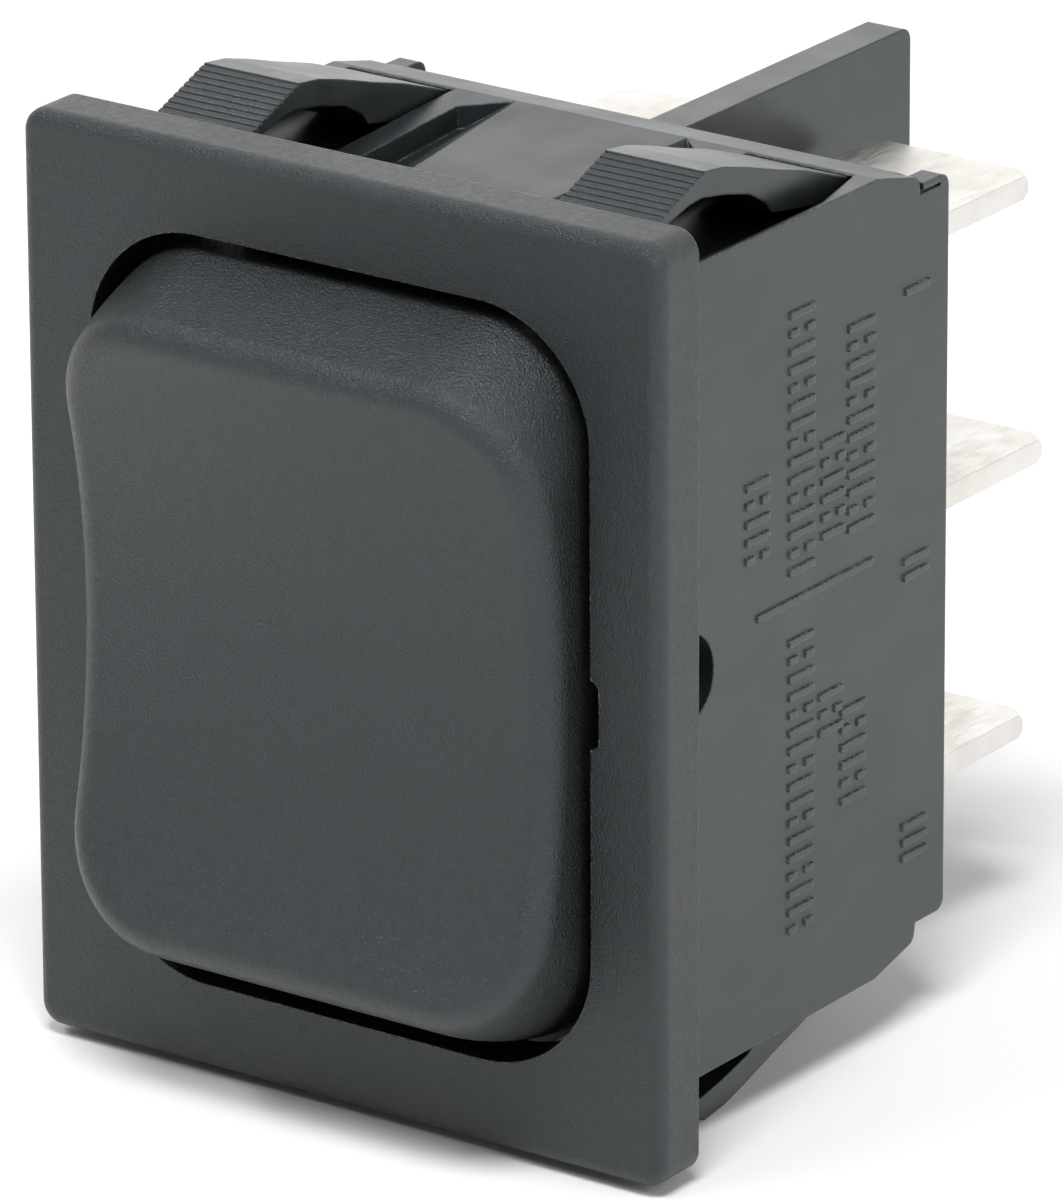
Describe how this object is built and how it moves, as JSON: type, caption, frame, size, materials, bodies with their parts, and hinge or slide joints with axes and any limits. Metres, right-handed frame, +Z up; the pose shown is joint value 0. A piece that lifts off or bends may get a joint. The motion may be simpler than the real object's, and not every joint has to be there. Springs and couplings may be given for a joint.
{
  "type": "rocker wall switch",
  "caption": "Snap-in rocker switch with a concave three-position rocker, a rectangular bezel, sprung side latches and rear quick-connect tabs split by a barrier fin.",
  "frame": {"origin": "centre of the seat, where the back of the bezel meets the panel", "axes": "X along the width, +Y into the panel towards the tabs, +Z up along the long side"},
  "size_m": [0.025, 0.0348, 0.0322],
  "materials": {
    "housing": "dark grey moulded plastic, fine grain on the bezel, satin on the body",
    "rocker": "dark grey moulded plastic with a fine spark-eroded grain",
    "terminal_base": "dark grey moulded plastic, satin",
    "pole_barrier": "dark grey moulded plastic, satin",
    "latch_top_left": "dark grey moulded plastic, satin",
    "latch_top_right": "dark grey moulded plastic, satin",
    "latch_bottom_left": "dark grey moulded plastic, satin",
    "latch_bottom_right": "dark grey moulded plastic, satin",
    "plunger_left": "natural acetal, smooth",
    "plunger_spring_left": "bright spring wire",
    "seesaw_left": "rolled copper alloy strip",
    "moving_contacts_left": "silver alloy rivets",
    "plunger_right": "natural acetal, smooth",
    "plunger_spring_right": "bright spring wire",
    "seesaw_right": "rolled copper alloy strip",
    "moving_contacts_right": "silver alloy rivets",
    "terminal_left_top": "bright plated brass",
    "terminal_left_middle": "bright plated brass",
    "terminal_left_bottom": "bright plated brass",
    "terminal_right_top": "bright plated brass",
    "terminal_right_middle": "bright plated brass",
    "terminal_right_bottom": "bright plated brass",
    "fixed_contacts_top": "silver alloy rivets",
    "fixed_contacts_bottom": "silver alloy rivets"
  },
  "bodies": {
    "case": {"housing": "housing", "terminal_base": "terminal_base", "pole_barrier": "pole_barrier", "terminal_left_top": "terminal_left_top", "terminal_left_middle": "terminal_left_middle", "terminal_left_bottom": "terminal_left_bottom", "terminal_right_top": "terminal_right_top", "terminal_right_middle": "terminal_right_middle", "terminal_right_bottom": "terminal_right_bottom", "fixed_contacts_top": "fixed_contacts_top", "fixed_contacts_bottom": "fixed_contacts_bottom"},
    "rocker": {"rocker": "rocker", "plunger_spring_left": "plunger_spring_left", "plunger_spring_right": "plunger_spring_right"},
    "plunger_left": {"plunger_left": "plunger_left"},
    "seesaw_left": {"seesaw_left": "seesaw_left", "moving_contacts_left": "moving_contacts_left"},
    "plunger_right": {"plunger_right": "plunger_right"},
    "seesaw_right": {"seesaw_right": "seesaw_right", "moving_contacts_right": "moving_contacts_right"},
    "latch_top_left": {"latch_top_left": "latch_top_left"},
    "latch_top_right": {"latch_top_right": "latch_top_right"},
    "latch_bottom_left": {"latch_bottom_left": "latch_bottom_left"},
    "latch_bottom_right": {"latch_bottom_right": "latch_bottom_right"}
  },
  "joints": [
    {"name": "rocker_tilt", "type": "hinge", "parent": "case", "child": "rocker", "pos_m": [0, 0.00173, 0], "axis": [1, 0, 0], "range_deg": [-10, 10]},
    {"name": "plunger_left_slide", "type": "slide", "parent": "rocker", "child": "plunger_left", "axis": [0, -1, 0], "range_m": [0, 0.0008], "stiffness_N_per_m": 400, "springref_m": -0.002, "deforming": ["plunger_spring_left"]},
    {"name": "seesaw_left_tilt", "type": "hinge", "parent": "case", "child": "seesaw_left", "pos_m": [-0.005, 0.0112, 0], "axis": [1, 0, 0], "range_deg": [-5.3, 5.3]},
    {"name": "plunger_right_slide", "type": "slide", "parent": "rocker", "child": "plunger_right", "axis": [0, -1, 0], "range_m": [0, 0.0008], "stiffness_N_per_m": 400, "springref_m": -0.002, "deforming": ["plunger_spring_right"]},
    {"name": "seesaw_right_tilt", "type": "hinge", "parent": "case", "child": "seesaw_right", "pos_m": [0.005, 0.0112, 0], "axis": [1, 0, 0], "range_deg": [-5.3, 5.3]},
    {"name": "latch_top_left_flex", "type": "hinge", "parent": "case", "child": "latch_top_left", "pos_m": [0, 0.01226, 0.0134], "axis": [1, 0, 0], "range_deg": [0, 8.5], "stiffness_Nm_per_rad": 0.15},
    {"name": "latch_top_right_flex", "type": "hinge", "parent": "case", "child": "latch_top_right", "pos_m": [0, 0.01226, 0.0134], "axis": [1, 0, 0], "range_deg": [0, 8.5], "stiffness_Nm_per_rad": 0.15},
    {"name": "latch_bottom_left_flex", "type": "hinge", "parent": "case", "child": "latch_bottom_left", "pos_m": [0, 0.01226, -0.0134], "axis": [-1, 0, 0], "range_deg": [0, 8.5], "stiffness_Nm_per_rad": 0.15},
    {"name": "latch_bottom_right_flex", "type": "hinge", "parent": "case", "child": "latch_bottom_right", "pos_m": [0, 0.01226, -0.0134], "axis": [-1, 0, 0], "range_deg": [0, 8.5], "stiffness_Nm_per_rad": 0.15}
  ],
  "couplings": [
    {"joint": "seesaw_left_tilt", "follows": "rocker_tilt", "ratio": -0.52},
    {"joint": "seesaw_right_tilt", "follows": "rocker_tilt", "ratio": -0.52}
  ]
}
